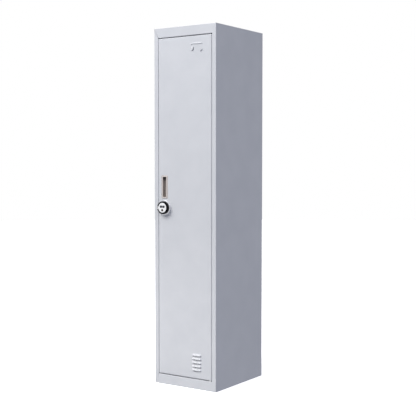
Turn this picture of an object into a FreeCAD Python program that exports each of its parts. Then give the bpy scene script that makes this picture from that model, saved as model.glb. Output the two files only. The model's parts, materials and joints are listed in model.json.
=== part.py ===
"""Single-door steel locker cabinet, modelled as the sheets and fittings it is assembled from.

Millimetres. +Z is up, -Y is the front, and +X is the hinge side. The origin is on the floor, at the
centre of the cabinet's footprint. Each function makes one sub-part, and NODES names them all.
"""

import FreeCAD, Part

import math
import os

from FreeCAD import Vector

# ---------------------------------------------------------------- cabinet
WIDTH = 385.0
DEPTH = 450.0
HEIGHT = 1850.0
SHEET = 0.8  # cold-rolled sheet thickness
BEND = 0.8  # inside radius of every fold

HALF_W = WIDTH / 2
FRONT = -DEPTH / 2
REAR = DEPTH / 2

STRIP = 24.5  # front face of each side panel
HEADER = 49.0  # front face of the top panel
PLINTH = 51.0  # front face of the floor panel
JAMB_DEPTH = 24.0  # how far the frame returns behind the front
STOP_LIP = 12.0  # lip behind the door's edge
MITRE_SEAMS = (1.3, 0.15)  # slits between the header or plinth and the left and right strips
CORNER_RELIEF_R = 2.0  # bend relief where a mitre meets the door opening
PAST = 1.0  # how far a cut runs past the metal

OPENING_HALF = HALF_W - STRIP
FOLDS_BACK = FRONT + 1.2 * (BEND + SHEET)  # just behind the folds round the front
LIP_BACK = FRONT + JAMB_DEPTH + 2 * SHEET  # just behind the stop lips
SILL_Z = PLINTH
SOFFIT_Z = HEIGHT - HEADER
STOP_Y = FRONT + JAMB_DEPTH
FIT = 0.1  # assembly gap between neighbouring sheets

INNER_HALF = HALF_W - SHEET - FIT  # half width of what sits between the side panels
BACK_FLANGE = 16.0
BACK_FACE = REAR - SHEET  # outer face of the back panel
TRAY_REAR = BACK_FACE - SHEET - FIT  # rear of the top, floor and shelf
FLOOR_Z = SILL_Z + 10.0
TRAY_FLANGE = 15.0
BASE_RIM = 20.0

# ---------------------------------------------------------------- inside
SHELF_Z = 1500.0
SHELF_FLANGE = 20.0
SHELF_HEM = 10.0
SHELF_FRONT = STOP_Y + 14.0
SHELF_REAR = TRAY_REAR - 1.0
SHELF_HALF = INNER_HALF - 0.6
BRACKET_W = 15.0
BRACKET_H = 28.0
BRACKET_T = 1.2
RAIL_Z = 1425.0
RAIL_R = 9.5
RAIL_WALL = 1.2
SOCKET_R = 17.0
SOCKET_WALL = 2.0
SOCKET_DEPTH = 12.0
SOCKET_FLANGE_T = 2.0

# ---------------------------------------------------------------- back fixings
SCREW_R = 2.5
SCREW_HEAD_R = 4.75
SCREW_HEAD_H = 1.8
SCREW_HEAD_ROUND = 1.2
SCREW_LENGTH = 8.0
SCREW_SOCKET_FLATS = 3.0
SCREW_X = HALF_W - BACK_FLANGE / 2
SCREW_COUNT = 6
SCREW_END_Z = 75.0
NUT_FLATS = 8.0
NUT_H = 4.0
WALL_HOLE_R = 4.0
WALL_HOLE_SPACING = 250.0
WALL_HOLE_Z = 1770.0

# ---------------------------------------------------------------- door
DOOR_GAP = 2.8
DOOR_HALF = OPENING_HALF - DOOR_GAP
DOOR_END_GAP = 4.0
DOOR_LOW = SILL_Z + DOOR_END_GAP
DOOR_HIGH = SOFFIT_Z - DOOR_END_GAP
DOOR_THICK = 18.0
DOOR_BACK = FRONT + DOOR_THICK
DOOR_LIP = 12.0
STIFFENER_X = -32.0
STIFFENER_HALF = 22.0
STIFFENER_FLANGE = 10.0
STIFFENER_SHORT = 2.5  # how far it stays in front of the door's lips
STIFFENER_END = 16.0

# pivot hinge, close behind the door's right edge
PIVOT_INSET = 11.0
PIVOT_BEHIND = 7.0
PIVOT_X = DOOR_HALF - PIVOT_INSET
PIVOT_Y = FRONT + PIVOT_BEHIND
PIN_R = 3.0
PIN_HEAD_R = 5.0
PIN_HEAD_H = 2.0
PIN_REACH = 13.0  # how far a pin runs into the door
BUSH_R = 4.5
BUSH_LENGTH = 10.0
WASHER_R = 5.5
BUSH_CLEARANCE = 0.06
PIVOT_PLATE_T = 3.0
PIVOT_PLATE_LEFT = PIVOT_X - 26.0

BUFFER_R = 5.0
BUFFER_ROUND = 1.0
BUFFER_X = -(OPENING_HALF - STOP_LIP / 2)
BUFFER_HEIGHTS = (260.0, 1180.0, 1600.0)

# ---------------------------------------------------------------- vents and label holder, on one line
VENT_X = 75.0
VENT_LENGTH = 56.0
VENT_RISE = 10.5
VENT_BULGE = 6.2
VENT_SLOT = 3.0  # height of the slot under a hood's open edge
VENT_PITCH = 19.0
VENT_COUNT = 5
VENT_LOWEST = 96.6

LABEL_RISE = 2.6
TAB_RISE = 4.4  # the side tab and the corner tab stand out more than the lip
LABEL_LEFT = 38.0
LABEL_RIGHT = 112.0
LABEL_LIP_Z = 1756.0
LABEL_LIP_H = 7.0
LABEL_HOOK_X = 50.0  # the lip's left end slants down from here
LABEL_HOOK_DROP = 6.0
LABEL_TAB_X = 55.6
LABEL_TAB_HIGH = 1744.0
LABEL_TAB_BEND = 1727.4
LABEL_LOW = 1718.5
LABEL_CORNER_X = 97.0
LABEL_CORNER_HIGH = 1727.5

# ---------------------------------------------------------------- finger-pull handle
HANDLE_X = -127.3
HANDLE_Z = 1032.7
HANDLE_HALF_W = 21.0
HANDLE_HALF_H = 60.0
HANDLE_PROUD = 2.4
HANDLE_CORNER = 5.0
HANDLE_EDGE = 1.5
HANDLE_MOUTH_CORNER = 2.5
HANDLE_BODY_MARGIN = 3.5  # the cup behind the skin is this much smaller than the bezel
HANDLE_MOUTH_HALF_W = 12.5
HANDLE_MOUTH_HALF_H = 52.0
HANDLE_CUP_DEPTH = 15.0
HANDLE_WALL = 1.6
HANDLE_CLEARANCE = 0.2  # round the handle and the lock barrel where they pass through the door
HANDLE_LIP_T = 3.0  # thickness of the bezel round the mouth
RETAINER_T = 1.2
RETAINER_MARGIN = 0.5

# ---------------------------------------------------------------- combination lock
LOCK_X = HANDLE_X
LOCK_Z = 925.5
LOCK_GAP = 0.3  # between the turning knob and the fixed parts
LOCK_FIT = 0.08  # radial clearance where a shaft or cylinder turns
COLLAR_R = 39.0
COLLAR_T = 6.9
COLLAR_ROUND = 2.5
KNOB_R = 33.5
KNOB_BORE_R = 25.5
KNOB_T = 14.5
KNOB_FLOOR = 1.2
KNOB_ROUND = 2.0
FACE_T = 1.2
KNOB_BACK = FRONT - COLLAR_T - LOCK_GAP
KNOB_FRONT = KNOB_BACK - KNOB_T

DIAL_R = 6.8
DIAL_W = 6.2
DIAL_Z = LOCK_Z + 5.5
DIAL_SINK = 6.0  # axle behind the knob's face
DIAL_Y = KNOB_FRONT + DIAL_SINK
DIAL_FLATS = 10
DIAL_PAIR_X = 8.1  # a pair of dials shows in each of two windows
DIAL_HALF_PITCH = 3.6
DIAL_AXLE_R = 1.5
DIAL_AXLE_HALF = 17.6
AXLE_POST_W = 1.8
AXLE_POST_HALF = 2.8
WINDOW_HALF_W = DIAL_HALF_PITCH + DIAL_W / 2 + 0.5
WINDOW_HALF_H = 5.6

KEY_Z = LOCK_Z - 12.6
KEY_R = 6.4
KEY_PROUD = 0.4
KEY_SLEEVE_R = 8.3
KEY_SLOT_W = 1.6
KEY_SLOT_H = 7.0
KEY_SLOT_DEPTH = 9.0

INDEX_X = LOCK_X - 30.6
INDEX_R = 2.2
INDEX_DEPTH = 2.0

SPINDLE_R = 5.0
SPINDLE_SQUARE = 7.0
SPINDLE_SHOULDER = 0.6  # between the round part's end and the cam
BARREL_R = 11.0
BARREL_BACK = FRONT + 24.0
LOCK_NUT_FLATS = 28.0
LOCK_NUT_T = 6.0
LOCK_WASHER_R = 15.5
LOCK_WASHER_T = 1.0

STRIKE_T = 1.2
STRIKE_HALF_H = 30.0
CAM_T = 2.5
CAM_Y = STOP_Y + SHEET + STRIKE_T + 0.8
CAM_REACH = 38.0
CAM_HALF_W = 8.0
CAM_EYE_R = 10.0
CAM_SCREW_R = 2.0
CAM_SCREW_REACH = 8.0
CAM_WASHER_R = 6.0
CAM_WASHER_T = 0.8
CAM_HEAD_R = 3.8
CAM_HEAD_H = 2.4
CAM_HEAD_ROUND = 0.8
CAM_HEAD_SLOT = 1.0
CAM_CORNER = 5.0


# ================================================================ building blocks
def block(x0, x1, y0, y1, z0, z1):
    """A box between two corners."""
    return Part.makeBox(x1 - x0, y1 - y0, z1 - z0, Vector(x0, y0, z0))


def rod(radius, start, end):
    """A round bar between two points."""
    line = Vector(*end) - Vector(*start)
    return Part.makeCylinder(radius, line.Length, Vector(*start), line)


def post(radius, x, z, y0, y1):
    """A round bar along Y."""
    return rod(radius, (x, y0, z), (x, y1, z))


def slab(points, y0, y1):
    """A plate from y0 to y1 whose outline is given as (x, z) points."""
    corners = [Vector(x, y0, z) for x, z in points]
    outline = Part.makePolygon(corners + corners[:1])
    return Part.Face(outline).extrude(Vector(0, y1 - y0, 0))


def joined(shapes):
    """One solid from shapes that overlap."""
    whole = shapes[0].multiFuse(shapes[1:])
    return whole.removeSplitter()


def group(shapes):
    """Separate identical solids kept together as one sub-part."""
    return Part.makeCompound(shapes)


def hexagon(flats, x, z, y0, y1):
    """A hexagonal bar along Y, with a flat at the top."""
    reach = flats / math.sqrt(3)
    angles = [math.radians(60 * i) for i in range(6)]
    return slab([(x + reach * math.cos(a), z + reach * math.sin(a)) for a in angles], y0, y1)


def rounded_plate(x, z, half_w, half_h, radius, y0, y1):
    """A rectangular plate along Y with rounded corners."""
    plate = block(x - half_w, x + half_w, y0, y1, z - half_h, z + half_h)
    corners = [e for e in plate.Edges if abs(e.tangentAt(e.FirstParameter).y) > 0.9]
    return plate.makeFillet(radius, corners)


def edges_on_plane(shape, y):
    """The edges of a shape that lie wholly in the plane at y."""
    return [e for e in shape.Edges if all(abs(v.Y - y) < 1e-6 for v in e.Vertexes)]


def rotated_left(v):
    return Vector(-v.y, v.x, 0)


def bent_line(points, radii):
    """Edges along a polyline whose corners are rounded to the given radii."""
    edges = []
    start = points[0]
    for before, corner, after, radius in zip(points, points[1:], points[2:], radii):
        came = (corner - before).normalize()
        goes = (after - corner).normalize()
        turn = came.getAngle(goes)
        reach = radius * math.tan(turn / 2)
        first = corner - came * reach
        last = corner + goes * reach
        towards = rotated_left(came) * math.copysign(1, came.cross(goes).z)
        centre = first + towards * radius
        middle = centre + (corner - centre).normalize() * radius
        edges.append(Part.LineSegment(start, first).toShape())
        edges.append(Part.Arc(first, middle, last).toShape())
        start = last
    edges.append(Part.LineSegment(start, points[-1]).toShape())
    return edges


def folded_section(points, material_side):
    """Flat face of a folded sheet seen end on, in the XY plane.

    points run along one face of the sheet. material_side is +1 where the metal is to the left of
    that line, and -1 where it is to the right. The inside of every fold has the radius BEND.
    """
    face_a = [Vector(u, v, 0) for u, v in points]
    ways = [(b - a).normalize() for a, b in zip(face_a, face_a[1:])]
    normals = [rotated_left(w) * material_side for w in ways]
    face_b = [face_a[0] + normals[0] * SHEET]
    radii_a, radii_b = [], []
    for i in range(1, len(ways)):
        n0, n1 = normals[i - 1], normals[i]
        face_b.append(face_a[i] + (n0 + n1) * (SHEET / (1 + n0.dot(n1))))
        wraps = ways[i - 1].cross(ways[i]).z * material_side > 0
        radii_a.append(BEND + SHEET if wraps else BEND)
        radii_b.append(BEND if wraps else BEND + SHEET)
    face_b.append(face_a[-1] + normals[-1] * SHEET)
    edges = bent_line(face_a, radii_a)
    edges.append(Part.LineSegment(face_a[-1], face_b[-1]).toShape())
    edges += bent_line(face_b[::-1], radii_b[::-1])
    edges.append(Part.LineSegment(face_b[0], face_a[0]).toShape())
    return Part.Face(Part.Wire(Part.sortEdges(edges)[0]))


def folded_upright(points, material_side, z0, z1):
    """A folded sheet with its section in plan, standing from z0 to z1."""
    section = folded_section(points, material_side)
    section.translate(Vector(0, 0, z0))
    return section.extrude(Vector(0, 0, z1 - z0))


def folded_across(points, material_side, half_width):
    """A folded sheet whose section is given as (y, z), running across the cabinet."""
    section = folded_section(points, material_side)
    section.rotate(Vector(0, 0, 0), Vector(1, 1, 1), 120)
    section.translate(Vector(-half_width, 0, 0))
    return section.extrude(Vector(2 * half_width, 0, 0))


# ================================================================ cabinet shell
def mitre_wedge(outer_z, inner_z, seams):
    """The header's or the plinth's share of the front, less its seams, reaching back past the folds."""
    left, right = seams
    outline = [
        (left - HALF_W, outer_z),
        (HALF_W - right, outer_z),
        (OPENING_HALF - right, inner_z),
        (left - OPENING_HALF, inner_z),
    ]
    return slab(outline, FRONT - PAST, FOLDS_BACK)


def outside_mitres(wedge):
    """What has to come off the front of a header or plinth so that only its wedge is left."""
    wide = HALF_W + PAST
    return block(-wide, wide, FRONT - PAST, FOLDS_BACK, -PAST, HEIGHT + PAST).cut(wedge)


def beyond(half, y0, y1, z0, z1):
    """Two blocks that cover everything further out than half, on the left and on the right."""
    return [block(*sorted((hand * half, hand * (HALF_W + PAST))), y0, y1, z0, z1) for hand in (-1, 1)]


def corner_reliefs():
    """Round bend reliefs at the four inner corners of the front frame."""
    return [
        post(CORNER_RELIEF_R, x, z, FRONT - PAST, FRONT + SHEET + PAST)
        for x in (-OPENING_HALF, OPENING_HALF)
        for z in (SILL_Z, SOFFIT_Z)
    ]


def side_panel(hand):
    """Side panel with its front strip, door jamb, stop lip and rear flange. hand is -1 for the left."""
    plan = [
        (hand * (OPENING_HALF - STOP_LIP), STOP_Y),
        (hand * OPENING_HALF, STOP_Y),
        (hand * OPENING_HALF, FRONT),
        (hand * HALF_W, FRONT),
        (hand * HALF_W, REAR),
        (hand * (HALF_W - BACK_FLANGE), REAR),
    ]
    panel = folded_upright(plan, hand, 0, HEIGHT)
    jamb_x = sorted((hand * (OPENING_HALF - STOP_LIP - PAST), hand * (OPENING_HALF + SHEET + BEND)))
    cuts = [
        block(*jamb_x, FOLDS_BACK, LIP_BACK, SOFFIT_Z - FIT, HEIGHT + PAST),
        block(*jamb_x, FOLDS_BACK, LIP_BACK, -PAST, SILL_Z + FIT),
        block(*jamb_x, STOP_Y - BEND - FIT, LIP_BACK, SILL_Z, FLOOR_Z + FIT),
        mitre_wedge(HEIGHT, SOFFIT_Z, (0, 0)),
        mitre_wedge(0, SILL_Z, (0, 0)),
    ]
    return panel.cut(cuts + corner_reliefs() + screw_holes())


def top_panel():
    """Top with the header, soffit and top door stop folded from the same sheet."""
    section = [
        (TRAY_REAR, HEIGHT - TRAY_FLANGE),
        (TRAY_REAR, HEIGHT),
        (FRONT, HEIGHT),
        (FRONT, SOFFIT_Z),
        (STOP_Y, SOFFIT_Z),
        (STOP_Y, SOFFIT_Z - STOP_LIP),
    ]
    pieces = [folded_across(section, 1, HALF_W)]
    for hand in (-1, 1):
        x0, x1 = sorted((hand * INNER_HALF, hand * (INNER_HALF - SHEET)))
        y0, y1 = STOP_Y + TRAY_FLANGE, TRAY_REAR - TRAY_FLANGE
        pieces.append(block(x0, x1, y0, y1, HEIGHT - TRAY_FLANGE, HEIGHT - SHEET / 2))
    cuts = [outside_mitres(mitre_wedge(HEIGHT, SOFFIT_Z, MITRE_SEAMS)), pin_hole(SOFFIT_Z)]
    cuts += beyond(INNER_HALF, FOLDS_BACK, REAR, 0, HEIGHT + PAST)
    cuts += beyond(OPENING_HALF - STOP_LIP - FIT, STOP_Y - BEND - FIT, LIP_BACK, 0, SOFFIT_Z)
    return joined(pieces).cut(cuts + corner_reliefs())


def floor_panel():
    """Floor pan with the plinth, sill and bottom door stop, and a welded rim all round that it stands on."""
    section = [
        (FRONT + BASE_RIM, 0),
        (FRONT, 0),
        (FRONT, SILL_Z),
        (STOP_Y, SILL_Z),
        (STOP_Y, FLOOR_Z),
        (TRAY_REAR, FLOOR_Z),
        (TRAY_REAR, 0),
        (TRAY_REAR - BASE_RIM, 0),
    ]
    pieces = [folded_across(section, -1, HALF_W)]
    for hand in (-1, 1):
        x0, x1 = sorted((hand * INNER_HALF, hand * (INNER_HALF - SHEET)))
        pieces.append(block(x0, x1, STOP_Y, TRAY_REAR - SHEET / 2, 0, FLOOR_Z - SHEET / 2))
        x0, x1 = sorted((hand * INNER_HALF, hand * (INNER_HALF - BASE_RIM)))
        pieces.append(block(x0, x1, FRONT + BASE_RIM - PAST, TRAY_REAR - BASE_RIM + PAST, 0, SHEET))
    cuts = [outside_mitres(mitre_wedge(0, SILL_Z, MITRE_SEAMS)), pin_hole(SILL_Z)]
    cuts += beyond(INNER_HALF, FOLDS_BACK, REAR, -PAST, HEIGHT)
    return joined(pieces).cut(cuts + corner_reliefs())


def pin_hole(z):
    """Clearance for a pivot pin through the sheet at height z."""
    reach = SHEET + PAST
    return rod(PIN_R + FIT, (PIVOT_X, PIVOT_Y, z - reach), (PIVOT_X, PIVOT_Y, z + reach))


def screw_heights():
    step = (HEIGHT - 2 * SCREW_END_Z) / (SCREW_COUNT - 1)
    return [SCREW_END_Z + i * step for i in range(SCREW_COUNT)]


def screw_places():
    return [(hand * SCREW_X, z) for hand in (-1, 1) for z in screw_heights()]


def screw_holes():
    return [post(SCREW_R, x, z, REAR - SCREW_LENGTH, REAR + PAST) for x, z in screw_places()]


def back_panel():
    """Plain back sheet behind the trays, with two holes for fixing the locker to a wall."""
    half_w = INNER_HALF - BEND
    sheet = block(-half_w, half_w, BACK_FACE - SHEET, BACK_FACE, 0, HEIGHT)
    half = WALL_HOLE_SPACING / 2
    wall_holes = [post(WALL_HOLE_R, x, WALL_HOLE_Z, BACK_FACE - PAST, REAR) for x in (-half, half)]
    return sheet.cut(wall_holes + screw_holes())


def back_screws():
    """Button-head screws through the side panels' rear flanges and the back panel."""
    screws = []
    top = REAR + SCREW_HEAD_H
    for x, z in screw_places():
        shank = post(SCREW_R, x, z, REAR - SCREW_LENGTH, REAR + FIT)
        head = post(SCREW_HEAD_R, x, z, REAR, top)
        head = head.makeFillet(SCREW_HEAD_ROUND, edges_on_plane(head, top))
        socket = hexagon(SCREW_SOCKET_FLATS, x, z, REAR + SCREW_HEAD_H / 2, top + PAST)
        screws.append(joined([shank, head]).cut(socket))
    return group(screws)


def back_nuts():
    """Hexagon nuts on the back screws, inside the cabinet."""
    inner = BACK_FACE - SHEET
    nuts = []
    for x, z in screw_places():
        hole = post(SCREW_R, x, z, inner - NUT_H - PAST, inner + PAST)
        nuts.append(hexagon(NUT_FLATS, x, z, inner - NUT_H, inner).cut(hole))
    return group(nuts)


# ================================================================ inside
def shelf():
    """Hat shelf folded down at the front and back, with a turned-under front edge."""
    section = [
        (SHELF_FRONT + SHELF_HEM, SHELF_Z - SHELF_FLANGE),
        (SHELF_FRONT, SHELF_Z - SHELF_FLANGE),
        (SHELF_FRONT, SHELF_Z),
        (SHELF_REAR, SHELF_Z),
        (SHELF_REAR, SHELF_Z - SHELF_FLANGE),
    ]
    return folded_across(section, -1, SHELF_HALF)


def shelf_bracket(hand):
    """Angle along a side panel that the shelf rests on."""
    wall_x = HALF_W - SHEET
    x0, x1 = sorted((hand * wall_x, hand * (wall_x - BRACKET_T)))
    y0, y1 = SHELF_FRONT + SHELF_HEM + 4, SHELF_REAR - 5
    top = SHELF_Z - SHEET
    leg = block(x0, x1, y0, y1, top - BRACKET_H, top)
    x0, x1 = sorted((hand * wall_x, hand * (wall_x - BRACKET_W)))
    ledge = block(x0, x1, y0, y1, top - BRACKET_T, top)
    return joined([leg, ledge])


def hanging_rail():
    """Round steel tube for coat hangers."""
    end = HALF_W - SHEET - SOCKET_FLANGE_T
    tube = rod(RAIL_R, (-end, 0, RAIL_Z), (end, 0, RAIL_Z))
    return tube.cut(rod(RAIL_R - RAIL_WALL, (-end, 0, RAIL_Z), (end, 0, RAIL_Z)))


def rail_socket(hand):
    """Round cup on a side panel that holds an end of the hanging rail."""
    wall = hand * (HALF_W - SHEET)
    step = hand * SOCKET_FLANGE_T
    base = rod(SOCKET_R, (wall, 0, RAIL_Z), (wall - step, 0, RAIL_Z))
    cup = rod(RAIL_R + SOCKET_WALL, (wall, 0, RAIL_Z), (wall - hand * SOCKET_DEPTH, 0, RAIL_Z))
    bore = rod(RAIL_R, (wall - step, 0, RAIL_Z), (wall - 2 * hand * SOCKET_DEPTH, 0, RAIL_Z))
    return joined([base, cup]).cut(bore)


def strike_plate():
    """Hardened plate behind the left stop lip, where the lock's cam bears."""
    x0 = -OPENING_HALF + SHEET
    x1 = STOP_LIP - OPENING_HALF - BEND
    y0 = STOP_Y + SHEET
    return block(x0, x1, y0, y0 + STRIKE_T, LOCK_Z - STRIKE_HALF_H, LOCK_Z + STRIKE_HALF_H)


def door_buffers():
    """Rubber buttons on the left stop lip that the closed door rests against."""
    front = DOOR_BACK + FIT / 2
    pads = [post(BUFFER_R, BUFFER_X, z, front, STOP_Y) for z in BUFFER_HEIGHTS]
    return group([pad.makeFillet(BUFFER_ROUND, edges_on_plane(pad, front)) for pad in pads])


# ================================================================ pivot hinge
def hinge_pin(sheet_z, up):
    """Headed pivot pin through the sheet at sheet_z, pointing up or down into the door."""
    metal = sheet_z - up * SHEET
    end = sheet_z + up * (DOOR_END_GAP + PIN_REACH)
    shank = rod(PIN_R, (PIVOT_X, PIVOT_Y, metal), (PIVOT_X, PIVOT_Y, end))
    head = rod(PIN_HEAD_R, (PIVOT_X, PIVOT_Y, metal), (PIVOT_X, PIVOT_Y, metal - up * PIN_HEAD_H))
    return joined([shank, head])


def thrust_washer():
    """Nylon washer on the sill that carries the door's weight."""
    bottom, top = (PIVOT_X, PIVOT_Y, SILL_Z), (PIVOT_X, PIVOT_Y, DOOR_LOW)
    return rod(WASHER_R, bottom, top).cut(rod(PIN_R + BUSH_CLEARANCE, bottom, top))


def pivot_bush(edge_z, inward):
    """Nylon bush in the door that turns on a hinge pin. inward is +1 at the bottom of the door."""
    start = (PIVOT_X, PIVOT_Y, edge_z)
    end = (PIVOT_X, PIVOT_Y, edge_z + inward * BUSH_LENGTH)
    return rod(BUSH_R, start, end).cut(rod(PIN_R + BUSH_CLEARANCE, start, end))


def pivot_plate(edge_z, inward):
    """Thick plate inside the door's end flange that holds a pivot bush."""
    z0, z1 = sorted((edge_z + inward * SHEET, edge_z + inward * (SHEET + PIVOT_PLATE_T)))
    y0, y1 = FRONT + SHEET + BEND, DOOR_BACK - SHEET - BEND
    plate = block(PIVOT_PLATE_LEFT, DOOR_HALF - SHEET - BEND, y0, y1, z0, z1)
    return plate.cut(rod(BUSH_R, (PIVOT_X, PIVOT_Y, z0), (PIVOT_X, PIVOT_Y, z1)))


# ================================================================ door
def vent_hood(low_z, inset):
    """Pressed vent hood, a shallow arched bulge open at its lower edge. inset gives its hollow."""
    bulge = VENT_BULGE - inset
    rise = VENT_RISE - inset
    radius = (rise**2 + bulge**2) / (2 * bulge)
    half = VENT_LENGTH / 2 - inset
    tip = FRONT - bulge
    centre_y = tip + radius
    halfway = math.asin(rise / radius) / 2
    a = Vector(0, tip, low_z)
    b = Vector(0, centre_y - radius * math.cos(halfway), low_z + radius * math.sin(halfway))
    c = Vector(0, FRONT, low_z + rise)
    d = Vector(0, FRONT + SHEET, low_z + rise)
    e = Vector(0, FRONT + SHEET, low_z)
    edges = [Part.Arc(a, b, c).toShape()]
    edges += [Part.LineSegment(p, q).toShape() for p, q in ((c, d), (d, e), (e, a))]
    face = Part.Face(Part.Wire(edges))
    face.translate(Vector(VENT_X - half, 0, 0))
    return face.extrude(Vector(2 * half, 0, 0))


def inset_outline(points, open_edges):
    """Moves the edges of an anticlockwise outline inwards by SHEET, but leaves the open edges in place."""
    corners = [Vector(x, z, 0) for x, z in points]
    ways = [(b - a).normalize() for a, b in zip(corners, corners[1:] + corners[:1])]
    moves = [0 if i in open_edges else SHEET for i in range(len(points))]
    starts = [a + rotated_left(w) * m for a, w, m in zip(corners, ways, moves)]
    moved = []
    for i, start in enumerate(starts):
        before, way = ways[i - 1], ways[i]
        along = (start - starts[i - 1]).cross(way).z / before.cross(way).z
        corner = starts[i - 1] + before * along
        moved.append((corner.x, corner.y))
    return moved


def label_outlines():
    """The label holder's lip, side tab and corner tab, each with the numbers of its open edges."""
    hook_z = LABEL_LIP_Z - LABEL_HOOK_DROP
    lip = [
        (LABEL_LEFT, hook_z),
        (LABEL_HOOK_X, LABEL_LIP_Z),
        (LABEL_RIGHT, LABEL_LIP_Z),
        (LABEL_RIGHT, LABEL_LIP_Z + LABEL_LIP_H),
        (LABEL_HOOK_X, LABEL_LIP_Z + LABEL_LIP_H),
        (LABEL_LEFT, LABEL_LIP_Z),
    ]
    tab = [
        (LABEL_LEFT, LABEL_LOW),
        (LABEL_TAB_X, LABEL_TAB_BEND),
        (LABEL_TAB_X, LABEL_TAB_HIGH),
        (LABEL_LEFT, LABEL_TAB_HIGH),
    ]
    corner = [
        (LABEL_CORNER_X, LABEL_LOW - LABEL_RISE),
        (LABEL_RIGHT, LABEL_LOW - LABEL_RISE),
        (LABEL_RIGHT, LABEL_CORNER_HIGH),
    ]
    return [(lip, (0, 1)), (tab, (0, 1)), (corner, (2,))]


def vent_slot(low_z):
    """Slot through the sheet, just under a hood's open edge."""
    half = VENT_LENGTH / 2 - VENT_SLOT
    return block(VENT_X - half, VENT_X + half, FRONT - PAST, FRONT + SHEET + PAST, low_z - VENT_SLOT, low_z)


def pressed_features():
    """The vents and the label holder on the door, as the metal to add and the hollows to cut."""
    rises, hollows = [], []
    for number in range(VENT_COUNT):
        low = VENT_LOWEST + number * VENT_PITCH
        rises.append(vent_hood(low, 0))
        hollows += [vent_hood(low, SHEET), vent_slot(low)]
    for (outline, open_edges), rise in zip(label_outlines(), (LABEL_RISE, TAB_RISE, TAB_RISE)):
        front = FRONT - rise
        rises.append(slab(outline, front, FRONT + SHEET))
        hollows.append(slab(inset_outline(outline, open_edges), front + SHEET, FRONT + SHEET))
    return rises, hollows


def door_pan():
    """Door sheet folded back along its four edges, with lips that turn in behind it."""
    pan = block(-DOOR_HALF, DOOR_HALF, FRONT, DOOR_BACK, DOOR_LOW, DOOR_HIGH)
    pan = pan.makeFillet(BEND + SHEET, edges_on_plane(pan, FRONT))
    x, z0, z1 = DOOR_HALF - SHEET, DOOR_LOW + SHEET, DOOR_HIGH - SHEET
    hollow = block(-x, x, FRONT + SHEET, DOOR_BACK - SHEET, z0, z1)
    hollow = hollow.makeFillet(BEND, edges_on_plane(hollow, FRONT + SHEET))
    x, z0, z1 = DOOR_HALF - DOOR_LIP, DOOR_LOW + DOOR_LIP, DOOR_HIGH - DOOR_LIP
    mouth = block(-x, x, DOOR_BACK - SHEET - PAST, DOOR_BACK + PAST, z0, z1)
    return pan.cut([hollow, mouth])


def door_skin():
    """Door pan with pressed vents and label holder, and holes for the handle, the lock and the bushes."""
    rises, hollows = pressed_features()
    skin = joined([door_pan()] + rises)
    cuts = hollows + [
        handle_body(HANDLE_CLEARANCE, FRONT - PAST, FRONT + SHEET + PAST),
        post(BARREL_R + HANDLE_CLEARANCE, LOCK_X, LOCK_Z, FRONT - PAST, FRONT + SHEET + PAST),
    ]
    for z in (DOOR_LOW, DOOR_HIGH):
        reach = SHEET + PAST
        cuts.append(rod(BUSH_R, (PIVOT_X, PIVOT_Y, z - reach), (PIVOT_X, PIVOT_Y, z + reach)))
    return skin.cut(cuts)


def door_stiffener():
    """Full-height hat channel welded to the back of the door skin."""
    base = FRONT + SHEET
    crown = DOOR_BACK - STIFFENER_SHORT
    left, right = STIFFENER_X - STIFFENER_HALF, STIFFENER_X + STIFFENER_HALF
    plan = [
        (left - STIFFENER_FLANGE, base),
        (left, base),
        (left, crown - SHEET),
        (right, crown - SHEET),
        (right, base),
        (right + STIFFENER_FLANGE, base),
    ]
    return folded_upright(plan, 1, DOOR_LOW + STIFFENER_END, DOOR_HIGH - STIFFENER_END)


# ================================================================ handle
def handle_body(margin, y0, y1):
    """Rounded block of the cup's outer size, grown by margin."""
    half_w = HANDLE_HALF_W - HANDLE_BODY_MARGIN + margin
    half_h = HANDLE_HALF_H - HANDLE_BODY_MARGIN + margin
    return rounded_plate(HANDLE_X, HANDLE_Z, half_w, half_h, HANDLE_CORNER - 1, y0, y1)


def handle_cup():
    """Recessed finger pull: a bezel on the door's face, and a cup behind it wider than its mouth."""
    place = (HANDLE_X, HANDLE_Z)
    front = FRONT - HANDLE_PROUD
    bezel = rounded_plate(*place, HANDLE_HALF_W, HANDLE_HALF_H, HANDLE_CORNER, front, FRONT)
    bezel = bezel.makeFillet(HANDLE_EDGE, edges_on_plane(bezel, front))
    cup_back = FRONT + HANDLE_CUP_DEPTH
    half_w = HANDLE_HALF_W - HANDLE_BODY_MARGIN - HANDLE_WALL
    half_h = HANDLE_HALF_H - HANDLE_BODY_MARGIN - HANDLE_WALL
    lip_back = front + HANDLE_LIP_T
    corner = HANDLE_MOUTH_CORNER
    pocket = rounded_plate(*place, half_w, half_h, corner, lip_back, cup_back - HANDLE_WALL)
    mouth = rounded_plate(
        *place, HANDLE_MOUTH_HALF_W, HANDLE_MOUTH_HALF_H, corner, front - PAST, lip_back + PAST
    )
    return joined([bezel, handle_body(0, FRONT, cup_back)]).cut([pocket, mouth])


def handle_retainer():
    """Push-on frame behind the skin that clamps the handle."""
    y0 = FRONT + SHEET
    half_w = HANDLE_HALF_W + RETAINER_MARGIN
    half_h = HANDLE_HALF_H + RETAINER_MARGIN
    frame = rounded_plate(HANDLE_X, HANDLE_Z, half_w, half_h, HANDLE_CORNER, y0, y0 + RETAINER_T)
    return frame.cut(handle_body(0, y0 - PAST, y0 + RETAINER_T + PAST))


# ================================================================ combination lock
def lock_post(radius, y0, y1):
    """A round bar on the lock's axis."""
    return post(radius, LOCK_X, LOCK_Z, y0, y1)


def lock_collar():
    """Fixed round collar between the door and the knob."""
    front = FRONT - COLLAR_T
    collar = lock_post(COLLAR_R, front, FRONT)
    collar = collar.makeFillet(COLLAR_ROUND, edges_on_plane(collar, front))
    return collar.cut(lock_post(SPINDLE_R + LOCK_GAP, front - PAST, FRONT + PAST))


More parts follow.
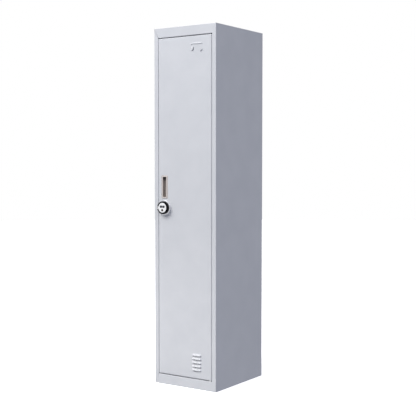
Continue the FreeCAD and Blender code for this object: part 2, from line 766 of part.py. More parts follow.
def lock_barrel():
    """Threaded barrel that passes through the door, behind the collar."""
    barrel = lock_post(BARREL_R, FRONT, BARREL_BACK)
    return barrel.cut(lock_post(SPINDLE_R + LOCK_FIT, FRONT - PAST, BARREL_BACK + PAST))


def lock_washer():
    """Washer under the lock's nut."""
    y0, y1 = FRONT + SHEET, FRONT + SHEET + LOCK_WASHER_T
    return lock_post(LOCK_WASHER_R, y0, y1).cut(lock_post(BARREL_R, y0 - PAST, y1 + PAST))


def lock_nut():
    """Hexagon nut that clamps the lock to the door."""
    y0 = FRONT + SHEET + LOCK_WASHER_T
    nut = hexagon(LOCK_NUT_FLATS, LOCK_X, LOCK_Z, y0, y0 + LOCK_NUT_T)
    return nut.cut(lock_post(BARREL_R, y0 - PAST, y0 + LOCK_NUT_T + PAST))


def knob_ring():
    """Cup-shaped body of the turning knob, with a sleeve inside it for the key cylinder."""
    ring = lock_post(KNOB_R, KNOB_FRONT, KNOB_BACK)
    ring = ring.makeFillet(KNOB_ROUND, edges_on_plane(ring, KNOB_FRONT))
    floor = KNOB_BACK - KNOB_FLOOR
    ring = ring.cut(lock_post(KNOB_BORE_R, KNOB_FRONT - PAST, floor))
    sleeve = post(KEY_SLEEVE_R, LOCK_X, KEY_Z, KNOB_FRONT + FACE_T, KNOB_BACK)
    bore = post(KEY_R + LOCK_FIT, LOCK_X, KEY_Z, KNOB_FRONT - PAST, floor)
    index_hole = post(INDEX_R, INDEX_X, LOCK_Z, KNOB_FRONT - PAST, KNOB_FRONT + INDEX_DEPTH)
    return joined([ring, sleeve]).cut([bore, index_hole])


def knob_face():
    """Face plate of the knob, with two windows for the dials and a hole for the key cylinder."""
    front, back = KNOB_FRONT - PAST, KNOB_FRONT + FACE_T + PAST
    cuts = [post(KEY_R + LOCK_FIT, LOCK_X, KEY_Z, front, back)]
    for x in (LOCK_X - DIAL_PAIR_X, LOCK_X + DIAL_PAIR_X):
        x0, x1 = x - WINDOW_HALF_W, x + WINDOW_HALF_W
        cuts.append(block(x0, x1, front, back, DIAL_Z - WINDOW_HALF_H, DIAL_Z + WINDOW_HALF_H))
    return lock_post(KNOB_BORE_R, KNOB_FRONT, KNOB_FRONT + FACE_T).cut(cuts)


def dial_axle():
    """Axle that the four dials turn on, held between two posts on the knob's floor."""
    y, z = DIAL_Y, DIAL_Z
    pieces = [rod(DIAL_AXLE_R, (LOCK_X - DIAL_AXLE_HALF, y, z), (LOCK_X + DIAL_AXLE_HALF, y, z))]
    for hand in (-1, 1):
        x0, x1 = sorted((LOCK_X + hand * (DIAL_AXLE_HALF - AXLE_POST_W), LOCK_X + hand * DIAL_AXLE_HALF))
        y0, y1 = y - AXLE_POST_HALF, KNOB_BACK - KNOB_FLOOR
        pieces.append(block(x0, x1, y0, y1, z - AXLE_POST_HALF, z + AXLE_POST_HALF))
    return joined(pieces)


def dial_places():
    """Centres of the dials from left to right, two to a window."""
    return [
        LOCK_X + window * DIAL_PAIR_X + side * DIAL_HALF_PITCH
        for window in (-1, 1)
        for side in (-1, 1)
    ]


def dial(x):
    """Number wheel with ten flats, one of them facing out of the knob."""
    x0, x1 = x - DIAL_W / 2, x + DIAL_W / 2
    angles = [math.tau * (i + 0.5) / DIAL_FLATS for i in range(DIAL_FLATS)]
    rim = [Vector(x0, DIAL_Y + DIAL_R * math.cos(a), DIAL_Z + DIAL_R * math.sin(a)) for a in angles]
    wheel = Part.Face(Part.makePolygon(rim + rim[:1])).extrude(Vector(DIAL_W, 0, 0))
    bore_r = DIAL_AXLE_R + LOCK_FIT
    return wheel.cut(rod(bore_r, (x0 - PAST, DIAL_Y, DIAL_Z), (x1 + PAST, DIAL_Y, DIAL_Z)))


def key_cylinder():
    """Override cylinder below the dials, with a slot for the master key."""
    front = KNOB_FRONT - KEY_PROUD
    core = post(KEY_R, LOCK_X, KEY_Z, front, KNOB_BACK - KNOB_FLOOR)
    x0, x1 = LOCK_X - KEY_SLOT_W / 2, LOCK_X + KEY_SLOT_W / 2
    z0, z1 = KEY_Z - KEY_SLOT_H / 2, KEY_Z + KEY_SLOT_H / 2
    return core.cut(block(x0, x1, front - PAST, front + KEY_SLOT_DEPTH, z0, z1))


def index_mark():
    """Small inlaid dot on the knob's rim that shows which way it is turned."""
    return post(INDEX_R, INDEX_X, LOCK_Z, KNOB_FRONT, KNOB_FRONT + INDEX_DEPTH)


def square_bar(y0, y1):
    """A square bar on the lock's axis, as wide as the spindle's squared end."""
    half = SPINDLE_SQUARE / 2
    return block(LOCK_X - half, LOCK_X + half, y0, y1, LOCK_Z - half, LOCK_Z + half)


def lock_spindle():
    """Shaft from the knob to the cam, squared where the cam sits and tapped for the cam's screw."""
    shaft = lock_post(SPINDLE_R, KNOB_BACK, CAM_Y - SPINDLE_SHOULDER)
    end = square_bar(CAM_Y - PAST, CAM_Y + CAM_T)
    thread = lock_post(CAM_SCREW_R, CAM_Y - CAM_SCREW_REACH, CAM_Y + CAM_T + PAST)
    return joined([shaft, end]).cut(thread)


def lock_cam():
    """Flat cam that turns behind the strike plate. It hangs down when the lock is open."""
    x0, x1 = LOCK_X - CAM_HALF_W, LOCK_X + CAM_HALF_W
    arm = block(x0, x1, CAM_Y, CAM_Y + CAM_T, LOCK_Z - CAM_REACH, LOCK_Z)
    tip = [e for e in arm.Edges if e.Length < CAM_T + FIT and e.Vertexes[0].Z < LOCK_Z - PAST]
    arm = arm.makeFillet(CAM_CORNER, tip)
    eye = lock_post(CAM_EYE_R, CAM_Y, CAM_Y + CAM_T)
    return joined([arm, eye]).cut(square_bar(CAM_Y - PAST, CAM_Y + CAM_T + PAST))


def cam_washer():
    """Washer under the cam's screw."""
    y0, y1 = CAM_Y + CAM_T, CAM_Y + CAM_T + CAM_WASHER_T
    return lock_post(CAM_WASHER_R, y0, y1).cut(lock_post(CAM_SCREW_R, y0 - PAST, y1 + PAST))


def cam_screw():
    """Screw that holds the cam on the spindle."""
    y0 = CAM_Y + CAM_T + CAM_WASHER_T
    y1 = y0 + CAM_HEAD_H
    shank = lock_post(CAM_SCREW_R, CAM_Y - CAM_SCREW_REACH, y0 + FIT)
    head = lock_post(CAM_HEAD_R, y0, y1)
    head = head.makeFillet(CAM_HEAD_ROUND, edges_on_plane(head, y1))
    reach, half = CAM_HEAD_R + PAST, CAM_HEAD_SLOT / 2
    slot = block(LOCK_X - reach, LOCK_X + reach, y1 - PAST, y1 + PAST, LOCK_Z - half, LOCK_Z + half)
    return joined([shank, head]).cut(slot)


# ================================================================ the assembly
NODES = {
    "side_panel_left": side_panel(-1),
    "side_panel_right": side_panel(1),
    "top_panel": top_panel(),
    "floor_panel": floor_panel(),
    "back_panel": back_panel(),
    "back_screws": back_screws(),
    "back_nuts": back_nuts(),
    "shelf": shelf(),
    "shelf_bracket_left": shelf_bracket(-1),
    "shelf_bracket_right": shelf_bracket(1),
    "hanging_rail": hanging_rail(),
    "rail_socket_left": rail_socket(-1),
    "rail_socket_right": rail_socket(1),
    "strike_plate": strike_plate(),
    "door_buffers": door_buffers(),
    "hinge_pin_top": hinge_pin(SOFFIT_Z, -1),
    "hinge_pin_bottom": hinge_pin(SILL_Z, 1),
    "thrust_washer": thrust_washer(),
    "door_skin": door_skin(),
    "door_stiffener": door_stiffener(),
    "pivot_bush_top": pivot_bush(DOOR_HIGH, -1),
    "pivot_bush_bottom": pivot_bush(DOOR_LOW, 1),
    "pivot_plate_top": pivot_plate(DOOR_HIGH, -1),
    "pivot_plate_bottom": pivot_plate(DOOR_LOW, 1),
    "handle_cup": handle_cup(),
    "handle_retainer": handle_retainer(),
    "lock_collar": lock_collar(),
    "lock_barrel": lock_barrel(),
    "lock_washer": lock_washer(),
    "lock_nut": lock_nut(),
    "knob_ring": knob_ring(),
    "knob_face": knob_face(),
    "index_mark": index_mark(),
    "dial_axle": dial_axle(),
    "key_cylinder": key_cylinder(),
    "lock_spindle": lock_spindle(),
    "lock_cam": lock_cam(),
    "cam_washer": cam_washer(),
    "cam_screw": cam_screw(),
}
for number, x in enumerate(dial_places(), start=1):
    NODES[f"dial_{number}"] = dial(x)

os.makedirs("parts", exist_ok=True)
for name, shape in NODES.items():
    shape.exportStep(f"parts/{name}.step")
    print(f"{name:20s} solids {len(shape.Solids):2d}  volume {shape.Volume:12.1f} mm3")
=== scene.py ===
import json
import math

import bmesh
import bpy
from mathutils import Matrix, Vector, noise

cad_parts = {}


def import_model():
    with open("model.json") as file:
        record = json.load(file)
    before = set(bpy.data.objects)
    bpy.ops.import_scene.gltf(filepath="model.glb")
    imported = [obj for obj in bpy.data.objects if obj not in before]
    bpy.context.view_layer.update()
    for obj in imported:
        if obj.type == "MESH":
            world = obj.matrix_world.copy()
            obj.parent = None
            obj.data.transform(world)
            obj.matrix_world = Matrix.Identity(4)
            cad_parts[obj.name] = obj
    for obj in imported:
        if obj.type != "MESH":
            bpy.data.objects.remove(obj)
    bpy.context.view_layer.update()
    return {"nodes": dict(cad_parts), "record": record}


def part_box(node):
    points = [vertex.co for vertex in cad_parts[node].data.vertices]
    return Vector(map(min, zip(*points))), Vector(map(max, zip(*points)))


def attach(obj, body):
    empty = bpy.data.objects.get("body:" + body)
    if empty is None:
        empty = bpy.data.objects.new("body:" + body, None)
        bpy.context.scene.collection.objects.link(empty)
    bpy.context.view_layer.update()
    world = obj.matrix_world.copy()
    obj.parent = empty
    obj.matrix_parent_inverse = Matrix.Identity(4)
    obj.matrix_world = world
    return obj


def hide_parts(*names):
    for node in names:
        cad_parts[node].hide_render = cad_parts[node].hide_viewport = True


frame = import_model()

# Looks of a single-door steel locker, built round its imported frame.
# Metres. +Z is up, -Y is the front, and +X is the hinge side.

# ---------------------------------------------------------------- places read from the frame
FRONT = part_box("side_panel_left")[0].y  # plane of the door's face
DOOR_LOW, DOOR_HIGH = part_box("door_skin")
HANDLE_LOW, HANDLE_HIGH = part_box("handle_cup")
COLLAR_LOW, COLLAR_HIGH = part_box("lock_collar")
KNOB_LOW, KNOB_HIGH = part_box("knob_ring")
FACE_LOW, FACE_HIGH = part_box("knob_face")
KEY_LOW, KEY_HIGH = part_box("key_cylinder")
INDEX_LOW, INDEX_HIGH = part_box("index_mark")
PIN_LOW, PIN_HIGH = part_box("hinge_pin_bottom")
HANDLE = (HANDLE_LOW + HANDLE_HIGH) / 2
LOCK = (FACE_LOW + FACE_HIGH) / 2
KEY = (KEY_LOW + KEY_HIGH) / 2
INDEX = (INDEX_LOW + INDEX_HIGH) / 2
WHEEL_LOW, WHEEL_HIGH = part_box("dial_1")
WHEEL_Z = (WHEEL_LOW.z + WHEEL_HIGH.z) / 2
PIVOT = (PIN_LOW + PIN_HIGH) / 2

# ---------------------------------------------------------------- door skin
SHEET = 0.0008
FOLD = 2 * SHEET  # outer radius of a fold
DOOR_LIP = 0.012
EASE = 0.0007  # how much the finished skin stops short at its bottom edge, and half of it at its top
FOLD_STEPS = 5
WAVE = 0.00012  # how far the flat face wanders
COARSE = 0.0125  # spacing of the skin's grid on its plain parts
FINE = 0.001  # and where it is pressed

VENT_X = 0.075
VENT_HALF = 0.028
VENT_RISE = 0.0105
VENT_BULGE = 0.0062
VENT_END = 0.005  # length of a hood's rounded ends
VENT_PITCH = 0.019
VENT_COUNT = 5
VENT_LOWEST = DOOR_LOW.z + 0.0416
VENT_SLOT = 0.003  # height of the slot under a hood's open edge

LABEL_RISE = 0.0026
TAB_RISE = 0.0044  # the label holder's left tab and right corner stand out more than its lip
LABEL_LEFT = 0.038
LABEL_RIGHT = 0.112
LABEL_TAB_X = 0.0556
LABEL_CORNER_X = 0.097
LABEL_HOOK_X = 0.050
LABEL_FOOT = DOOR_HIGH.z - 0.085  # bottom of the pressed area round the label
LABEL_SLIT = DOOR_HIGH.z - 0.0696  # lower slit, at its highest
LABEL_TAB_TOP = DOOR_HIGH.z - 0.053
LABEL_LIP = DOOR_HIGH.z - 0.041
LABEL_LIP_TOP = DOOR_HIGH.z - 0.034
LABEL_HEAD = DOOR_HIGH.z - 0.029  # top of the pressed area
LABEL_FADE = 0.003  # the lip rises over this length at its ends, and the tab and corner over theirs
TAB_FADE = 0.006
CORNER_FADE = 0.004
TAB_DROP = 0.0089  # fall of the lower slit at its left end, and at the corner, and of the lip at its end
CORNER_DROP = 0.0108
LIP_DROP = 0.006

PRESSED_LEFT = 0.036  # columns of the skin's grid: everything pressed is between these two
PRESSED_RIGHT = 0.114
MIDDLE_LEFT = 0.060  # and it is coarser between these
MIDDLE_RIGHT = 0.090
THROUGH = 0.002  # how far a cutter reaches past what it cuts

# ---------------------------------------------------------------- handle and lock
HANDLE_CORNER = 0.005
HANDLE_RIM = 0.0085  # width of the bezel above and below the mouth
HANDLE_SIDES = 1.22  # and how much wider it is at the sides
HANDLE_LIP = 0.003  # its thickness
HANDLE_BODY = 0.0035  # the cup is this much smaller than the bezel
HANDLE_WALL = 0.0016
CLEARANCE = 0.0002
LEAST_CORNER = 0.0015  # least corner radius of a lofted plate
CUP_PAINT_START = 0.0006  # the cup's paint begins this far in front of the door's face
CUP_PAINT_FADE = 0.0008
# The cup is painted darker towards its top: a painted shadow under its lip.
CUP_SHADE_TOP = 0.030  # the dark part of the cup begins this far under its top
CUP_SHADE_FADE = 0.021

BARREL_R = 0.011
SPINDLE_R = 0.005
BUSH_R = 0.0045
KNOB_BORE_R = (FACE_HIGH.x - FACE_LOW.x) / 2
WINDOW_GAP = 0.0005  # between a window's edge and the dials in it
WINDOW_HALF_H = 0.0056
WINDOW_CORNER = 0.0009
KNURLS = 60
FLUTE_DEPTH = 0.00045
KNOB_FLOOR = 0.0012  # thickness of the floor of the knob's cup
KEY_HOLE_R = (KEY_HIGH.x - KEY_LOW.x) / 2 + 0.00008
KEY_SLOT_HALF_W = 0.0008
KEY_SLOT_HALF_H = 0.0033
KEY_SLOT_DEPTH = 0.009
DIAL_FLATS = 10
DIAL_BORE_R = 0.00158
DIAL_EDGE = 0.00022  # rounding of a wheel's edges
DIGIT_H = 0.0033
DIGIT_SHARE = 0.7  # height of a numeral over the size of its type
DIGIT_RISE = 0.00010
INDEX_RISE = 0.0002  # how much the dome of the index dot stands out
PATCH_HALF_W = 0.0060  # white patch across the knob's rim at the index dot
PATCH_HALF_H = 0.0058
PATCH_DEPTH = 0.0020

# ---------------------------------------------------------------- studio
CAMERA_AT = (2.6912, -3.9641, 1.1478)
CAMERA_DOWN = 2.747
CAMERA_YAW = 34.258
CAMERA_LENS = 78.03
SENSOR = 36.0
FLOOR_R = 14.0
FLOOR_STEPS = 96

BODY_OF = {n: body for body, nodes in frame["record"]["behaviour"]["bodies"].items() for n in nodes}


# ================================================================ mesh code
def rounded(corners, closed=True, steps=4):
    """Points along an outline given as (u, v, radius of the corner)."""
    points = []
    for i, (u, v, radius) in enumerate(corners):
        here = Vector((u, v))
        at_end = not closed and i in (0, len(corners) - 1)
        if radius == 0 or at_end:
            points.append(here)
            continue
        came = (here - Vector(corners[i - 1][:2])).normalized()
        goes = (Vector(corners[(i + 1) % len(corners)][:2]) - here).normalized()
        turn = math.atan2(came.x * goes.y - came.y * goes.x, came.dot(goes))
        start = here - came * (radius * math.tan(abs(turn) / 2))
        centre = start + Vector((-came.y, came.x)) * math.copysign(radius, turn)
        for k in range(steps + 1):
            points.append(centre + Matrix.Rotation(turn * k / steps, 2) @ (start - centre))
    return points


def mesh_of(name, points, faces):
    """Closed mesh from points and faces, which are turned to look outwards."""
    mesh = bpy.data.meshes.new(name)
    mesh.from_pydata([tuple(p) for p in points], [], faces)
    return facing_out(mesh)


def facing_out(mesh):
    """Makes every face of a closed mesh look outwards."""
    work = bmesh.new()
    work.from_mesh(mesh)
    bmesh.ops.recalc_face_normals(work, faces=work.faces)
    work.to_mesh(mesh)
    work.free()
    return mesh


def lathe(name, outline, x, z, steps=96):
    """Closed shape swept by an outline of (radius, y) round the Y axis through x, z."""
    points, rings = [], []
    for radius, y in outline:
        count = steps if radius > 1e-6 else 1
        rings.append(range(len(points), len(points) + count))
        for k in range(count):
            angle = math.tau * k / steps
            points.append((x + radius * math.cos(angle), y, z + radius * math.sin(angle)))
    return mesh_of(name, points, bridged(rings, True))


def bridged(rings, closed):
    """Faces between neighbouring rings of points. A ring of one point is a pole."""
    faces = []
    pairs = list(zip(rings, rings[1:]))
    if closed:
        pairs.append((rings[-1], rings[0]))
    for a, b in pairs:
        count = max(len(a), len(b))
        if count == 1:
            continue
        for k in range(count):
            n = (k + 1) % count
            corners = [a[k % len(a)], a[n % len(a)], b[n % len(b)], b[k % len(b)]]
            faces.append(list(dict.fromkeys(corners)))
    return faces


def plate_ring(x, z, half_w, half_h, radius, y, steps=6):
    """Outline of a rounded plate as points at y."""
    corners = [(-half_w, -half_h), (half_w, -half_h), (half_w, half_h), (-half_w, half_h)]
    outline = rounded([(u, v, radius) for u, v in corners], steps=steps)
    return [(x + p.x, y, z + p.y) for p in outline]


def plate_loft(name, x, z, half_w, half_h, corner, profile, sides=1.0):
    """Rounded plate whose section is a list of (inset, y) from one end cap to the other.

    At its two upright sides, the insets are multiplied by sides."""
    points, rings = [], []
    least = min(LEAST_CORNER, half_w / 2)
    for inset, y in profile:
        ring = plate_ring(x, z, half_w - inset * sides, half_h - inset, max(corner - inset, least), y)
        rings.append(range(len(points), len(points) + len(ring)))
        points += ring
    faces = bridged(rings, False) + [list(rings[0]), list(rings[-1])]
    return mesh_of(name, points, faces)


def solid_object(name, mesh):
    """New object in the scene, with the data given."""
    piece = bpy.data.objects.new(name, mesh)
    bpy.context.scene.collection.objects.link(piece)
    return piece


def baked(piece):
    """Replaces an object's mesh with the result of its modifiers."""
    view = bpy.context.evaluated_depsgraph_get()
    mesh = bpy.data.meshes.new_from_object(piece.evaluated_get(view))
    piece.modifiers.clear()
    piece.data = mesh
    return piece


def cut_away(piece, cutters):
    """Cuts the cutters' meshes out of a piece."""
    for number, mesh in enumerate(cutters):
        tool = solid_object(f"cutter_{number}", mesh)
        cut = piece.modifiers.new("cut", "BOOLEAN")
        cut.object, cut.operation, cut.solver = tool, "DIFFERENCE", "EXACT"
        baked(piece)
        bpy.data.objects.remove(tool)
    return piece


def softened(piece, width, segments=2):
    """Rounds the sharp edges of a piece."""
    bevel = piece.modifiers.new("bevel", "BEVEL")
    bevel.width, bevel.segments = width, segments
    bevel.limit_method, bevel.angle_limit = "ANGLE", math.radians(40)
    bevel.harden_normals = False
    return baked(piece)


def finished(piece, finish, body, slot, *nodes, sharp=35):
    """Shades a piece, gives it its material, ties it to its body and hides the CAD nodes that it stands for.
    The slot is not used.
    """
    piece.data.materials.clear()
    piece.data.materials.append(finish)
    piece.data.shade_smooth()
    piece.data.set_sharp_from_angle(angle=math.radians(sharp))
    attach(piece, body)
    if nodes:
        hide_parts(*nodes)
    return piece


# ================================================================ materials
def node_material(name):
    """A new material, its node tree and its shader."""
    finish = bpy.data.materials.new(name)
    finish.use_nodes = True
    tree = finish.node_tree
    return finish, tree, tree.nodes["Principled BSDF"]


def add(tree, kind, **values):
    """Adds a node, with values set on it or on its inputs."""
    node = tree.nodes.new(kind)
    for name, value in values.items():
        if name in node.inputs:
            node.inputs[name].default_value = value
        else:
            setattr(node, name, value)
    return node


def object_coords(tree, stretch):
    """Object-space coordinates, stretched."""
    where = add(tree, "ShaderNodeTexCoord")
    mapping = add(tree, "ShaderNodeMapping", Scale=stretch)
    tree.links.new(where.outputs["Object"], mapping.inputs["Vector"])
    return mapping.outputs["Vector"]


def noise_range(tree, coords, scale, detail, low, high):
    """Noise spread over the range from low to high."""
    texture = add(tree, "ShaderNodeTexNoise", Scale=scale, Detail=detail)
    tree.links.new(coords, texture.inputs["Vector"])
    spread = add(tree, "ShaderNodeMapRange")
    for name, value in (("From Min", 0.3), ("From Max", 0.7), ("To Min", low), ("To Max", high)):
        spread.inputs[name].default_value = value
    tree.links.new(texture.outputs["Fac"], spread.inputs["Value"])
    return spread.outputs["Result"]


def blended(tree, factor, first, second):
    """Mix of two colours, or of a colour and a socket, by a factor socket."""
    mix = add(tree, "ShaderNodeMix", data_type="RGBA")
    tree.links.new(factor, mix.inputs["Factor"])
    for socket, value in ((mix.inputs[6], first), (mix.inputs[7], second)):
        if isinstance(value, bpy.types.NodeSocket):
            tree.links.new(value, socket)
        else:
            socket.default_value = (*value, 1)
    return mix.outputs[2]


def bumped(tree, shader, coords, scale, depth, detail=2.0):
    """Fine relief on a shader."""
    texture = add(tree, "ShaderNodeTexNoise", Scale=scale, Detail=detail)
    tree.links.new(coords, texture.inputs["Vector"])
    bump = add(tree, "ShaderNodeBump", Distance=depth, Strength=1.0)
    tree.links.new(texture.outputs["Fac"], bump.inputs["Height"])
    tree.links.new(bump.outputs["Normal"], shader.inputs["Normal"])


def surface(name, dark, light, rough, grain, stretch=(1, 1, 1), metallic=0.0, specular=0.5, coat=0.0):
    """Material whose colour wanders between dark and light.

    rough is the (low, high) range of roughness, and grain is the (scale, depth) of its relief."""
    finish, tree, shader = node_material(name)
    shader.inputs["Metallic"].default_value = metallic
    shader.inputs["Specular IOR Level"].default_value = specular
    shader.inputs["Coat Weight"].default_value = coat
    coords = object_coords(tree, stretch)
    colour = blended(tree, noise_range(tree, coords, 9.0, 3.0, 0, 1), dark, light)
    tree.links.new(colour, shader.inputs["Base Color"])
    tree.links.new(noise_range(tree, coords, 45.0, 4.0, *rough), shader.inputs["Roughness"])
    bumped(tree, shader, coords, *grain)
    return finish


def object_axes(tree):
    """Sockets of the object coordinates, by axis."""
    where = add(tree, "ShaderNodeTexCoord")
    split = add(tree, "ShaderNodeSeparateXYZ")
    tree.links.new(where.outputs["Object"], split.inputs["Vector"])
    return split.outputs


def beyond(tree, axis, edge, fade):
    """Mask that is 0 where a coordinate is under an edge, and 1 where it is past edge + fade."""
    mask = add(tree, "ShaderNodeMapRange")
    mask.inputs["From Min"].default_value = edge
    mask.inputs["From Max"].default_value = edge + fade
    tree.links.new(object_axes(tree)[axis], mask.inputs["Value"])
    return mask.outputs["Result"]


def paint_cup(finish, pale, dark):
    """Paints the handle's cup, with a painted shadow that darkens it towards its top under the lip. The
    bezel in front of it stays bare metal.
    """
    tree = finish.node_tree
    shader = tree.nodes["Principled BSDF"]
    inside = beyond(tree, "Y", FRONT - CUP_PAINT_START, CUP_PAINT_FADE)
    # mask of the painted shadow under the cup's top lip
    painted_shadow_mask = beyond(tree, "Z", HANDLE_HIGH.z - CUP_SHADE_TOP, CUP_SHADE_FADE)
    paint = blended(tree, painted_shadow_mask, pale, dark)
    metal = shader.inputs["Base Color"].links[0].from_socket
    tree.links.new(blended(tree, inside, metal, paint), shader.inputs["Base Color"])
    bare = add(tree, "ShaderNodeMath", operation="SUBTRACT")
    bare.inputs[0].default_value = 1
    tree.links.new(inside, bare.inputs[1])
    tree.links.new(bare.outputs[0], shader.inputs["Metallic"])


POWDER = surface(
    "powder_coat",
    (0.640, 0.655, 0.690),
    (0.675, 0.688, 0.722),
    (0.40, 0.52),
    (1100.0, 0.00002),
    specular=0.45,
)
ZINC = surface(
    "zinc_steel", (0.52, 0.53, 0.55), (0.66, 0.66, 0.66), (0.30, 0.48), (700.0, 0.00001), metallic=1.0
)
RAIL = surface(
    "rail_chrome", (0.74, 0.74, 0.75), (0.82, 0.82, 0.83), (0.10, 0.22), (400.0, 0.000005), (0.05, 1, 1), 1.0
)
NYLON = surface("nylon", (0.74, 0.74, 0.72), (0.80, 0.80, 0.78), (0.38, 0.50), (900.0, 0.00001))
RUBBER = surface("rubber", (0.018, 0.018, 0.019), (0.035, 0.035, 0.036), (0.65, 0.85), (1500.0, 0.00003))
CHAMPAGNE = surface(
    "handle_metal",
    (0.68, 0.62, 0.585),
    (0.76, 0.705, 0.67),
    (0.36, 0.46),
    (500.0, 0.00001),
    (1, 1, 0.04),
    metallic=1.0,
)
CHROME = surface(
    "lock_chrome", (0.84, 0.84, 0.85), (0.90, 0.90, 0.91), (0.07, 0.14), (300.0, 0.000004), metallic=1.0
)
SATIN = surface(
    "lock_face_metal", (0.86, 0.86, 0.87), (0.91, 0.91, 0.91), (0.22, 0.32), (900.0, 0.000006), metallic=1.0
)
COLLAR = surface(
    "lock_collar_metal",
    (0.76, 0.76, 0.78),
    (0.83, 0.83, 0.85),
    (0.30, 0.40),
    (600.0, 0.000006),
    metallic=1.0,
)
BLACK = surface(
    "lock_black",
    (0.0025, 0.0025, 0.004),
    (0.006, 0.006, 0.008),
    (0.22, 0.34),
    (800.0, 0.000006),
    specular=0.07,
)
DARK_PAINT = surface("index_paint", (0.015, 0.015, 0.02), (0.03, 0.03, 0.035), (0.3, 0.4), (900.0, 0.000006))
DIAL = surface(
    "dial_black", (0.010, 0.011, 0.018), (0.018, 0.020, 0.030), (0.42, 0.55), (900.0, 0.00001), specular=0.15
)
NUMERAL = surface("numeral_paint", (0.26, 0.27, 0.31), (0.32, 0.33, 0.37), (0.50, 0.60), (900.0, 0.000006))
BRASS = surface(
    "brass", (0.040, 0.029, 0.013), (0.080, 0.058, 0.026), (0.38, 0.52), (350.0, 0.00001), metallic=1.0
)
# the cup's pale paint, then the colour of the painted shadow near its top
paint_cup(CHAMPAGNE, (0.49, 0.435, 0.395), (0.035, 0.032, 0.032))

FINISHES = {
    "powder_coat": POWDER,
    "zinc_steel": ZINC,
    "rail_chrome": RAIL,
    "nylon": NYLON,
    "rubber": RUBBER,
    "handle_metal": CHAMPAGNE,
    "lock_chrome": CHROME,
    "lock_black": BLACK,
    "index_paint": DARK_PAINT,
    "dial_black": DIAL,
    "brass": BRASS,
}


def finish_frame():
    """Puts the procedural materials on the CAD nodes that stay."""
    for node in frame["nodes"].values():
        for place in node.material_slots:
            place.material = FINISHES[place.material.name.split(".")[0]]


# ================================================================ door skin
def spaced(start, end, step):
    """Even values from start up to end, without end."""
    count = max(1, round((end - start) / step))
    return [start + (end - start) * i / count for i in range(count)]


def grid_line(*stretches):
    """Values along stretches of (start, step), the last of which gives only the end."""
    values = []
    for (start, step), (end, _) in zip(stretches, stretches[1:]):
        values += spaced(start, end, step)
    return values + [stretches[-1][0]]


def ramp(value, width):
    """Smooth rise from 0 to 1 as value goes from 0 to width."""
    t = min(max(value / width, 0.0), 1.0)
    return t * t * (3 - 2 * t)


def vent_height(x, above):
    """How far a vent hood stands out, where above is the height over its open edge."""
    along = max(0.0, abs(x - VENT_X) - (VENT_HALF - VENT_END)) / VENT_END
    reach = min(1.0, math.hypot(along, above / VENT_RISE))
    return VENT_BULGE * (1 - reach**2) ** 1.2


def vent_lows():
    """Heights of the vent hoods' open edges."""
    return [VENT_LOWEST + number * VENT_PITCH for number in range(VENT_COUNT)]


def hood_over(low):
    """Height function of the vent hood whose open edge is at low."""

    def height(x, z):
        return vent_height(x, z - low)

    return height


def in_slot(x, z):
    """Whether a place on the skin is in the slot under one of the vent hoods."""
    if abs(x - VENT_X) > VENT_HALF - VENT_SLOT:
        return False
    return any(low - VENT_SLOT < z < low for low in vent_lows())


def lip_height(x, z):
    """How far the label holder's lip stands out."""
    ends = ramp(x - LABEL_LEFT, LABEL_FADE) * ramp(LABEL_RIGHT - x, LABEL_FADE)
    return LABEL_RISE * ends * ramp(LABEL_LIP_TOP - z, LABEL_LIP_TOP - LABEL_LIP)


def tab_height(x, z):
    """How far the label holder's left tab stands out."""
    along = ramp(x - LABEL_LEFT, LABEL_TAB_X - LABEL_LEFT)
    return TAB_RISE * along * ramp(LABEL_TAB_TOP - z, TAB_FADE)


def corner_height(x, z):
    """How far the label holder's right corner stands out."""
    ends = ramp(LABEL_RIGHT + 0.001 - x, CORNER_FADE) * ramp(x - LABEL_CORNER_X, CORNER_FADE)
    rise = ramp(z - LABEL_FOOT - CORNER_FADE, LABEL_SLIT - LABEL_FOOT - CORNER_FADE)
    return TAB_RISE * ends * rise


def pressed_areas():
    """Areas of the skin that are pressed out, as (x0, x1, z0, z1, height at x, z)."""
    areas = [
        (LABEL_LEFT, LABEL_RIGHT, LABEL_LIP, LABEL_LIP_TOP, lip_height),
        (LABEL_LEFT, LABEL_TAB_X, LABEL_SLIT, LABEL_TAB_TOP, tab_height),
        (LABEL_CORNER_X, LABEL_RIGHT, LABEL_FOOT, LABEL_SLIT, corner_height),
    ]
    for low in vent_lows():
        areas.append((VENT_X - VENT_HALF, VENT_X + VENT_HALF, low, low + VENT_RISE, hood_over(low)))
    return areas


def between(value, stops):
    """Value interpolated along stops of (at, result)."""
    if value <= stops[0][0]:
        return stops[0][1]
    for (a, low), (b, high) in zip(stops, stops[1:]):
        if value <= b:
            return low + (high - low) * (value - a) / (b - a)
    return stops[-1][1]


def slanted(x, z):
    """Height of a grid row at x. The rows near the label holder bend to follow its slits."""
    slit = between(
        x,
        [
            (LABEL_LEFT, LABEL_SLIT - TAB_DROP),
            (LABEL_TAB_X, LABEL_SLIT),
            (LABEL_CORNER_X, LABEL_SLIT - CORNER_DROP),
            (LABEL_RIGHT, LABEL_SLIT),
        ],
    )
    lip = between(x, [(LABEL_LEFT, LABEL_LIP - LIP_DROP), (LABEL_HOOK_X, LABEL_LIP)])
    rows = [
        (LABEL_FOOT, LABEL_FOOT),
        (LABEL_SLIT, slit),
        (LABEL_TAB_TOP, LABEL_TAB_TOP),
        (LABEL_LIP, lip),
        (LABEL_HEAD, LABEL_HEAD),
    ]
    if not LABEL_FOOT < z < LABEL_HEAD:
        return z
    return between(z, rows)


